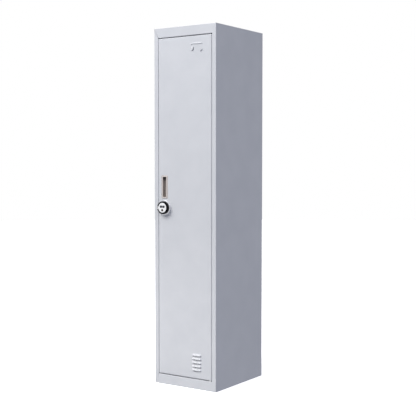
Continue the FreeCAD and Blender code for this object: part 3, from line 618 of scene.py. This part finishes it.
def face_grid(columns, rows):
    """The skin's face as (points, faces, point numbers along its border by column and row)."""
    areas = pressed_areas()
    points, faces, numbers = [], [], {}

    def corner(i, j, area):
        x, z = columns[i], rows[j]
        height = area[4](x, z) if area else 0.0
        key = (i, j, area[:4] if area and height > 1e-6 else None)
        if key not in numbers:
            edge = min(x - columns[0], columns[-1] - x, z - rows[0], rows[-1] - z)
            wander = WAVE * ramp(edge, 0.05) * noise.noise(Vector((4 * x, 1.7, 3 * z)))
            numbers[key] = len(points)
            points.append((x, FRONT - height + wander, slanted(x, z)))
        return numbers[key]

    for i in range(len(columns) - 1):
        for j in range(len(rows) - 1):
            x = (columns[i] + columns[i + 1]) / 2
            z = (rows[j] + rows[j + 1]) / 2
            inside = [a for a in areas if a[0] < x < a[1] and a[2] < z < a[3]]
            area = inside[0] if inside else None
            around = ((i, j), (i + 1, j), (i + 1, j + 1), (i, j + 1))
            if not in_slot(x, z):
                faces.append([corner(a, b, area) for a, b in around])
    border = {key[:2]: number for key, number in numbers.items() if key[2] is None}
    return points, faces, border


def border_walk(columns, rows):
    """The face's border from corner to corner, as (column, row, way out, whether it is a corner)."""
    last_i, last_j = len(columns) - 1, len(rows) - 1
    sides = [
        ([(i, 0) for i in range(last_i + 1)], -90),
        ([(last_i, j) for j in range(last_j + 1)], 0),
        ([(i, last_j) for i in range(last_i, -1, -1)], 90),
        ([(0, j) for j in range(last_j, -1, -1)], 180),
    ]
    walk = []
    for places, way in sides:
        walk += [(place, way) for place in places]
        walk += [(places[-1], way + 90 * k / FOLD_STEPS) for k in range(1, FOLD_STEPS)]
    return walk


def rim_profile():
    """The door's edge outside its flat face, as (distance out, y): fold, side, fold and lip."""
    back = DOOR_HIGH.y
    quarter = [math.radians(90 * k / FOLD_STEPS) for k in range(1, FOLD_STEPS + 1)]
    profile = [(FOLD * math.sin(a), FRONT + FOLD * (1 - math.cos(a))) for a in quarter]
    profile += [(FOLD * math.cos(a), back - FOLD * (1 - math.sin(a))) for a in [0] + quarter[:-1]]
    return profile + [(0.0, back), (FOLD - DOOR_LIP, back)]


def add_rim(points, faces, columns, rows, border):
    """Adds the folded edge round the skin's face."""
    walk = border_walk(columns, rows)
    ends = (0, len(columns) - 1), (0, len(rows) - 1)

    def place(spot, way, out, y):
        x, z = columns[spot[0]], rows[spot[1]]
        if out > 0:
            return (x + out * math.cos(math.radians(way)), y, z + out * math.sin(math.radians(way)))
        sign_x = (spot[0] == ends[0][1]) - (spot[0] == ends[0][0])
        sign_z = (spot[1] == ends[1][1]) - (spot[1] == ends[1][0])
        return (x + out * sign_x, y, z + out * sign_z)

    before = [border[spot] for spot, _ in walk]
    for out, y in rim_profile():
        ring, seen = [], {}
        for spot, way in walk:
            key = (spot, way if out > 1e-9 else None)
            if key not in seen:
                seen[key] = len(points)
                points.append(place(spot, way, out, y))
            ring.append(seen[key])
        for k in range(len(walk)):
            n = (k + 1) % len(walk)
            corners = list(dict.fromkeys([before[k], before[n], ring[n], ring[k]]))
            if len(corners) > 2:
                faces.append(corners)
        before = ring


def door_skin():
    """Door pan with pressed vents and label holder, folded all round."""
    half = DOOR_HIGH.x - FOLD
    columns = grid_line(
        (-half, COARSE),
        (PRESSED_LEFT, FINE),
        (LABEL_TAB_X, FINE),
        (MIDDLE_LEFT, 3 * FINE),
        (MIDDLE_RIGHT, FINE),
        (PRESSED_RIGHT, COARSE),
        (half, 0),
    )
    vents_top = VENT_LOWEST + VENT_COUNT * VENT_PITCH
    rows = grid_line(
        (DOOR_LOW.z + FOLD + EASE, COARSE),
        (VENT_LOWEST - 0.005, FINE),
        (VENT_LOWEST, FINE),
        (vents_top, 2 * COARSE),
        (LABEL_FOOT, FINE),
        (LABEL_SLIT, FINE),
        (LABEL_TAB_TOP, FINE),
        (LABEL_LIP, FINE),
        (LABEL_HEAD, COARSE),
        (DOOR_HIGH.z - FOLD - EASE / 2, 0),
    )
    points, faces, border = face_grid(columns, rows)
    add_rim(points, faces, columns, rows, border)
    skin = solid_object("door_skin_pressed", mesh_of("door_skin_pressed", points, faces))
    thick = skin.modifiers.new("thickness", "SOLIDIFY")
    thick.thickness, thick.offset, thick.use_even_offset = SHEET, -1, True
    baked(skin)
    cut_away(skin, door_holes())
    return finished(skin, POWDER, "door", "powder_coat", "door_skin", sharp=50)


def door_holes():
    """Cutters for the handle, the lock and the two pivot bushes."""
    y0, y1 = FRONT - THROUGH, FRONT + 0.003
    half_w = (HANDLE_HIGH.x - HANDLE_LOW.x) / 2
    half_h = (HANDLE_HIGH.z - HANDLE_LOW.z) / 2
    inset = HANDLE_BODY - CLEARANCE
    slot = plate_loft("slot", HANDLE.x, HANDLE.z, half_w, half_h, HANDLE_CORNER, [(inset, y0), (inset, y1)])
    hole_r = BARREL_R + CLEARANCE
    hole = lathe("hole", [(0, y0), (hole_r, y0), (hole_r, y1), (0, y1)], LOCK.x, LOCK.z)
    ends = []
    for z in (DOOR_LOW.z, DOOR_HIGH.z):
        sides = [(0, -THROUGH), (BUSH_R, -THROUGH), (BUSH_R, THROUGH), (0, THROUGH)]
        peg = lathe("peg", sides, 0, 0, 48)
        peg.transform(Matrix.Translation((PIVOT.x, PIVOT.y, z)) @ Matrix.Rotation(math.pi / 2, 4, "X"))
        ends.append(peg)
    return [slot, hole] + ends


# ================================================================ handle
def handle():
    """Recessed finger pull, with a rolled bezel and an undercut cup."""
    front, back = HANDLE_LOW.y, HANDLE_HIGH.y
    floor = back - HANDLE_WALL
    lip_back = front + HANDLE_LIP
    pocket = HANDLE_BODY + HANDLE_WALL
    profile = rounded(
        [
            (pocket + 0.003, floor, 0),
            (pocket, floor, 0.0015),
            (pocket, lip_back, 0.0004),
            (HANDLE_RIM, lip_back, 0.0006),
            (HANDLE_RIM, front + 0.0009, 0.0006),
            (HANDLE_RIM - 0.0012, front, 0.0016),
            (0.0042, front, 0.0036),
            (0, front + 0.0022, 0.0016),
            (0, FRONT, 0),
            (HANDLE_BODY, FRONT, 0),
            (HANDLE_BODY, back, 0.0015),
            (HANDLE_BODY + 0.003, back, 0),
        ],
        closed=False,
    )
    half_w = (HANDLE_HIGH.x - HANDLE_LOW.x) / 2
    half_h = (HANDLE_HIGH.z - HANDLE_LOW.z) / 2
    profile = [tuple(p) for p in profile]
    size = (half_w, half_h, HANDLE_CORNER)
    mesh = plate_loft("finger_pull", HANDLE.x, HANDLE.z, *size, profile, HANDLE_SIDES)
    return finished(solid_object("finger_pull", mesh), CHAMPAGNE, "door", "handle_metal", "handle_cup")


# ================================================================ combination lock
def collar():
    """Fixed metal collar, with a rounded shoulder."""
    front, back = COLLAR_LOW.y, COLLAR_HIGH.y
    radius = (COLLAR_HIGH.x - COLLAR_LOW.x) / 2
    bore = SPINDLE_R + 0.0003
    outline = rounded(
        [
            (bore, back, 0),
            (radius, back, 0.0004),
            (radius, front + 0.0022, 0.0016),
            (radius - 0.0055, front, 0.0045),
            (bore, front, 0),
        ]
    )
    mesh = lathe("collar", outline, LOCK.x, LOCK.z, 128)
    return finished(solid_object("lock_collar_turned", mesh), COLLAR, "door", "lock_chrome", "lock_collar")


def knurled(mesh):
    """Presses shallow grip flutes into the side of the knob."""
    radius = (KNOB_HIGH.x - KNOB_LOW.x) / 2
    for point in mesh.vertices:
        spoke = Vector((point.co.x - LOCK.x, point.co.z - LOCK.z))
        on_side = ramp(spoke.length - radius + 0.0011, 0.0008)
        at_front = ramp(point.co.y - KNOB_LOW.y - 0.002, 0.002)
        inside = at_front * ramp(KNOB_HIGH.y - KNOB_FLOOR - point.co.y, 0.001)
        flute = 0.5 + 0.5 * math.cos(KNURLS * math.atan2(spoke.y, spoke.x))
        shrink = 1 - FLUTE_DEPTH * flute * on_side * inside / max(spoke.length, radius / 2)
        point.co.x = LOCK.x + spoke.x * shrink
        point.co.z = LOCK.z + spoke.y * shrink
    return mesh


def ring_outline():
    """Section of the knob's cup, as (radius, y)."""
    front, back = KNOB_LOW.y, KNOB_HIGH.y
    radius = (KNOB_HIGH.x - KNOB_LOW.x) / 2
    floor = back - KNOB_FLOOR
    side = [(radius, back - 0.0005 - 0.001 * k, 0) for k in range(11)]
    return rounded(
        [(0, floor, 0), (0, back, 0), (radius - 0.0005, back, 0)]
        + side
        + [
            (radius, front, 0.002),
            (KNOB_BORE_R + 0.0012, front, 0.0004),
            (KNOB_BORE_R + 0.0006, front + 0.0005, 0.0002),
            (KNOB_BORE_R, front + 0.0005, 0),
            (KNOB_BORE_R, floor, 0.0008),
        ],
        steps=5,
    )


def ring():
    """Gloss black body of the knob, with a white patch round the index dot."""
    mesh = knurled(lathe("knob_body", ring_outline(), LOCK.x, LOCK.z, 6 * KNURLS))
    body = solid_object("knob_body", mesh)
    index_r = (INDEX_HIGH.x - INDEX_LOW.x) / 2
    index = lathe("index_hole", disc(index_r, KNOB_LOW.y - 0.001, INDEX_HIGH.y), INDEX.x, INDEX.z, 32)
    cut_away(body, [index])
    return finished(body, ring_finish(), "lock_knob", "lock_black", "knob_ring")


def disc(radius, y0, y1, edge=0.0):
    """Outline of a plain disc for the lathe, with its front edge rounded."""
    return rounded([(0, y1, 0), (radius, y1, 0), (radius, y0, edge), (0, y0, 0)])


def ring_finish():
    """Gloss black, with a white patch across the rim at the index dot."""
    finish = BLACK
    tree = finish.node_tree
    shader = tree.nodes["Principled BSDF"]
    axes = object_axes(tree)
    limits = (
        ("X", INDEX.x, PATCH_HALF_W),
        ("Z", INDEX.z, PATCH_HALF_H),
        ("Y", KNOB_LOW.y, PATCH_DEPTH),
    )
    masks = []
    for axis, centre, half in limits:
        compare = add(tree, "ShaderNodeMath", operation="COMPARE")
        compare.inputs[1].default_value = centre
        compare.inputs[2].default_value = half
        tree.links.new(axes[axis], compare.inputs[0])
        masks.append(compare.outputs[0])
    both = masks[0]
    for mask in masks[1:]:
        product = add(tree, "ShaderNodeMath", operation="MULTIPLY")
        tree.links.new(both, product.inputs[0])
        tree.links.new(mask, product.inputs[1])
        both = product.outputs[0]
    under = shader.inputs["Base Color"].links[0].from_socket
    tree.links.new(blended(tree, both, under, (0.85, 0.85, 0.85)), shader.inputs["Base Color"])
    return finish


def windows():
    """Centre and half width of the two windows, one round each pair of dials."""
    places = []
    for left, right in (("dial_1", "dial_2"), ("dial_3", "dial_4")):
        low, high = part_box(left)[0].x - WINDOW_GAP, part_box(right)[1].x + WINDOW_GAP
        places.append(((low + high) / 2, (high - low) / 2))
    return places


def window_cutter(x, half_w, y0, y1):
    """Cutter for one window."""
    return plate_loft("window", x, WHEEL_Z, half_w, WINDOW_HALF_H, WINDOW_CORNER, [(0, y0), (0, y1)])


def face():
    """Face plate with two framed windows and a hole for the key cylinder."""
    front, back = FACE_LOW.y, FACE_HIGH.y
    radius = KNOB_BORE_R - 0.00005
    outline = rounded(
        [
            (0, back, 0),
            (radius, back, 0),
            (radius, front + 0.0003, 0.0003),
            (radius - 0.0016, front + 0.0003, 0.0003),
            (radius - 0.0020, front, 0.0003),
            (0, front, 0),
        ]
    )
    plate = solid_object("knob_face_plate", lathe("knob_face_plate", outline, LOCK.x, LOCK.z, 128))
    key_hole = lathe("key_hole", disc(KEY_HOLE_R, front - THROUGH, back + THROUGH), KEY.x, KEY.z, 64)
    holes = [window_cutter(x, half_w, front - THROUGH, back + THROUGH) for x, half_w in windows()]
    cut_away(plate, holes + [key_hole])
    return finished(plate, SATIN, "lock_knob", "lock_chrome", "knob_face", sharp=30)


def window_frames():
    """Thin raised bright frames round the two windows."""
    front, width, rise = FACE_LOW.y, 0.0008, 0.0004
    section = rounded(
        [
            (width, front + rise / 2, 0),
            (width, front - rise, 0.0003),
            (0, front - rise, 0.0003),
            (0, front + rise / 2, 0),
        ]
    )
    for number, (x, half_w) in enumerate(windows(), start=1):
        points, rings = [], []
        for grow, y in section:
            loop = plate_ring(x, WHEEL_Z, half_w + grow, WINDOW_HALF_H + grow, WINDOW_CORNER + grow, y)
            rings.append(range(len(points), len(points) + len(loop)))
            points += loop
        mesh = mesh_of("window_frame", points, bridged(rings, True))
        finished(solid_object(f"window_frame_{number}", mesh), CHROME, "lock_knob", "lock_chrome")


def key_escutcheon():
    """Bright ring round the key cylinder."""
    front = FACE_LOW.y
    outline = rounded(
        [
            (KEY_HOLE_R, front + 0.0002, 0),
            (KEY_HOLE_R, front - 0.0003, 0.0002),
            (KEY_HOLE_R + 0.0011, front - 0.0003, 0.0003),
            (KEY_HOLE_R + 0.0015, front + 0.0002, 0),
        ]
    )
    mesh = lathe("key_escutcheon", outline, KEY.x, KEY.z, 64)
    finished(solid_object("key_escutcheon", mesh), CHROME, "lock_knob", "lock_chrome")


def key_cylinder():
    """Master-key cylinder with a dished front and a key slot."""
    front, back = KEY_LOW.y, KEY_HIGH.y - CLEARANCE
    radius = (KEY_HIGH.x - KEY_LOW.x) / 2
    outline = rounded(
        [
            (0, back, 0),
            (radius, back, 0.0004),
            (radius, front, 0.0006),
            (radius - 0.0013, front, 0.0002),
            (radius - 0.0016, front + 0.0004, 0.0002),
            (0, front + 0.0004, 0),
        ]
    )
    core = solid_object("key_cylinder_turned", lathe("key_cylinder_turned", outline, KEY.x, KEY.z, 64))
    depths = [(0, front - THROUGH), (0, front + KEY_SLOT_DEPTH)]
    slot = plate_loft("slot", KEY.x, KEY.z, KEY_SLOT_HALF_W, KEY_SLOT_HALF_H, 0.0, depths)
    cut_away(core, [slot])
    body = BODY_OF["key_cylinder"]
    return finished(core, BRASS, body, "brass", "key_cylinder", sharp=30)


def index_dot():
    """Domed index dot, proud of the knob's rim."""
    radius = (INDEX_HIGH.x - INDEX_LOW.x) / 2
    outline = disc(radius, INDEX_LOW.y - INDEX_RISE, INDEX_HIGH.y, 0.0006)
    mesh = lathe("index_dot", outline, INDEX.x, INDEX.z, 32)
    return finished(solid_object("index_dot", mesh), DARK_PAINT, "lock_knob", "index_paint", "index_mark")


def number_wheel(number):
    """Number wheel with ten flats, softened edges and a raised numeral on each flat."""
    low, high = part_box(f"dial_{number}")
    centre = (low + high) / 2
    radius, half = (high.z - low.z) / 2, (high.x - low.x) / 2
    angles = [math.tau * (k + 0.5) / DIAL_FLATS for k in range(DIAL_FLATS)]
    points, rings = [], []
    for r, x in ((DIAL_BORE_R, -half), (radius, -half), (radius, half), (DIAL_BORE_R, half)):
        rings.append(range(len(points), len(points) + DIAL_FLATS))
        points += [(centre.x + x, centre.y + r * math.cos(a), centre.z + r * math.sin(a)) for a in angles]
    wheel = solid_object(f"wheel_{number}", mesh_of(f"wheel_{number}", points, bridged(rings, True)))
    softened(wheel, DIAL_EDGE)
    body = BODY_OF[f"dial_{number}"]
    finished(wheel, DIAL, body, "dial_black", f"dial_{number}", sharp=25)
    numerals(number, centre, radius * math.cos(math.pi / DIAL_FLATS), body)


def digit_mesh(digit):
    """Mesh of one raised numeral, centred, upright in XY and facing +Z."""
    curve = bpy.data.curves.new("digit", "FONT")
    curve.body = str(digit)
    curve.size = DIGIT_H / DIGIT_SHARE
    curve.extrude = DIGIT_RISE
    curve.resolution_u = 3
    curve.align_x, curve.align_y = "CENTER", "CENTER"
    holder = solid_object("digit", curve)
    view = bpy.context.evaluated_depsgraph_get()
    mesh = bpy.data.meshes.new_from_object(holder.evaluated_get(view))
    bpy.data.objects.remove(holder)
    return mesh


def numerals(number, centre, reach, body):
    """Numerals 0 to 9 round a wheel, joined into one piece."""
    work = bmesh.new()
    for digit in range(DIAL_FLATS):
        mesh = digit_mesh(digit)
        upright = Matrix.Rotation(math.pi / 2, 4, "X")
        out = Matrix.Translation((0, -reach, 0))
        turn = Matrix.Rotation(math.tau * digit / DIAL_FLATS, 4, "X")
        mesh.transform(Matrix.Translation(centre) @ turn @ out @ upright)
        work.from_mesh(mesh)
        bpy.data.meshes.remove(mesh)
    bmesh.ops.remove_doubles(work, verts=work.verts, dist=1e-6)
    joined = bpy.data.meshes.new(f"numerals_{number}")
    work.to_mesh(joined)
    work.free()
    piece = solid_object(f"numerals_{number}", joined)
    finished(piece, NUMERAL, body, "dial_black", sharp=30)


# ================================================================ studio
def camera():
    """Camera at the locker's viewing angle."""
    data = bpy.data.cameras.new("camera")
    data.lens, data.sensor_width = CAMERA_LENS, SENSOR
    view = solid_object("camera", data)
    view.location = CAMERA_AT
    view.rotation_euler = (math.radians(90 - CAMERA_DOWN), 0, math.radians(CAMERA_YAW))
    bpy.context.scene.camera = view


def softbox(name, azimuth, height, distance, size, watts, colour, aim, beam=180):
    """Area light aimed at a height on the locker's axis. Azimuth 0 is in front, and 90 at its right."""
    data = bpy.data.lights.new(name, "AREA")
    data.shape, data.size, data.size_y = "RECTANGLE", *size
    data.energy, data.color, data.spread = watts, colour, math.radians(beam)
    lamp = solid_object(name, data)
    angle = math.radians(azimuth)
    lamp.location = (distance * math.sin(angle), -distance * math.cos(angle), height)
    lamp.visible_camera = False
    lamp.rotation_euler = (Vector((0, 0, aim)) - lamp.location).to_track_quat("-Z", "Y").to_euler()
    return lamp


def distant(name, azimuth, elevation, strength, spread, colour):
    """Even light from far away, softened by a wide spread. Azimuth 0 is in front, and 90 at its right."""
    data = bpy.data.lights.new(name, "SUN")
    data.energy, data.angle, data.color = strength, math.radians(spread), colour
    lamp = solid_object(name, data)
    turn, lift = math.radians(azimuth), math.radians(elevation)
    away = Vector((math.sin(turn) * math.cos(lift), -math.cos(turn) * math.cos(lift), math.sin(lift)))
    lamp.rotation_euler = away.to_track_quat("Z", "Y").to_euler()
    return lamp


def lights():
    """Soft light from the front left, weaker fills, and cards that only metal parts mirror."""
    distant("key", -34, 41, 2.42, 38, (1.0, 0.98, 0.925)).visible_glossy = False
    distant("fill", 62, 42, 0.81, 44, (0.905, 0.915, 1.0))
    distant("rear", 198, 35, 0.7, 60, (0.96, 0.97, 1.0)).visible_glossy = False
    softbox("card", -37, 0.95, 4.6, (2.6, 3.6), 12, (1.0, 1.0, 1.0), 0.925)
    softbox("side", 72, 0.95, 3.0, (1.0, 2.6), 6, (0.93, 0.95, 1.0), 0.925)
    softbox("high", -14, 3.2, 1.9, (2.6, 1.6), 9, (0.95, 0.97, 1.0), 1.8, 120)
    softbox("low", -30, 0.7, 1.5, (1.2, 0.4), 0.5, (1.0, 0.98, 0.94), 0.1, 60).visible_glossy = False


def world():
    """White to the camera, and a dim cool surround as a light."""
    sky = bpy.data.worlds.new("studio")
    bpy.context.scene.world = sky
    sky.use_nodes = True
    tree = sky.node_tree
    path = add(tree, "ShaderNodeLightPath")
    shade = tree.nodes["Background"]
    glossy = blended(tree, path.outputs["Is Glossy Ray"], (0.20, 0.21, 0.25), (0.62, 0.63, 0.66))
    colour = blended(tree, path.outputs["Is Camera Ray"], glossy, (1.0, 1.0, 1.0))
    tree.links.new(colour, shade.inputs["Color"])


def floor():
    """Plain pale floor."""
    angles = [math.tau * k / FLOOR_STEPS for k in range(FLOOR_STEPS)]
    rim = [(FLOOR_R * math.cos(a), FLOOR_R * math.sin(a), 0) for a in angles]
    faces = [(0, 1 + k, 1 + (k + 1) % FLOOR_STEPS) for k in range(FLOOR_STEPS)]
    mesh = bpy.data.meshes.new("floor")
    mesh.from_pydata([(0, 0, 0)] + rim, [], faces)
    finish, tree, shader = node_material("floor")
    where = add(tree, "ShaderNodeTexCoord")
    length = add(tree, "ShaderNodeVectorMath", operation="LENGTH")
    tree.links.new(where.outputs["Object"], length.inputs[0])
    glow = add(tree, "ShaderNodeMapRange", interpolation_type="SMOOTHSTEP")
    for name, value in (("From Min", 0.2), ("From Max", 1.6), ("To Min", 0.80), ("To Max", 1.0)):
        glow.inputs[name].default_value = value
    tree.links.new(length.outputs["Value"], glow.inputs["Value"])
    tree.links.new(glow.outputs["Result"], shader.inputs["Emission Strength"])
    coords = object_coords(tree, (1, 1, 1))
    tint = blended(tree, noise_range(tree, coords, 3.0, 2.0, 0, 1), (0.90, 0.90, 0.90), (0.92, 0.92, 0.92))
    tree.links.new(tint, shader.inputs["Base Color"])
    shader.inputs["Roughness"].default_value = 0.8
    shader.inputs["Specular IOR Level"].default_value = 0.0
    shader.inputs["Emission Color"].default_value = (1, 1, 1, 1)
    mesh.materials.append(finish)
    ground = solid_object("floor", mesh)
    ground.visible_diffuse = False
    ground.visible_glossy = False


finish_frame()
door_skin()
handle()
collar()
ring()
face()
window_frames()
key_escutcheon()
key_cylinder()
index_dot()
for wheel in range(1, 5):
    number_wheel(wheel)
camera()
lights()
world()
floor()
bpy.context.scene.view_settings.view_transform = "Standard"
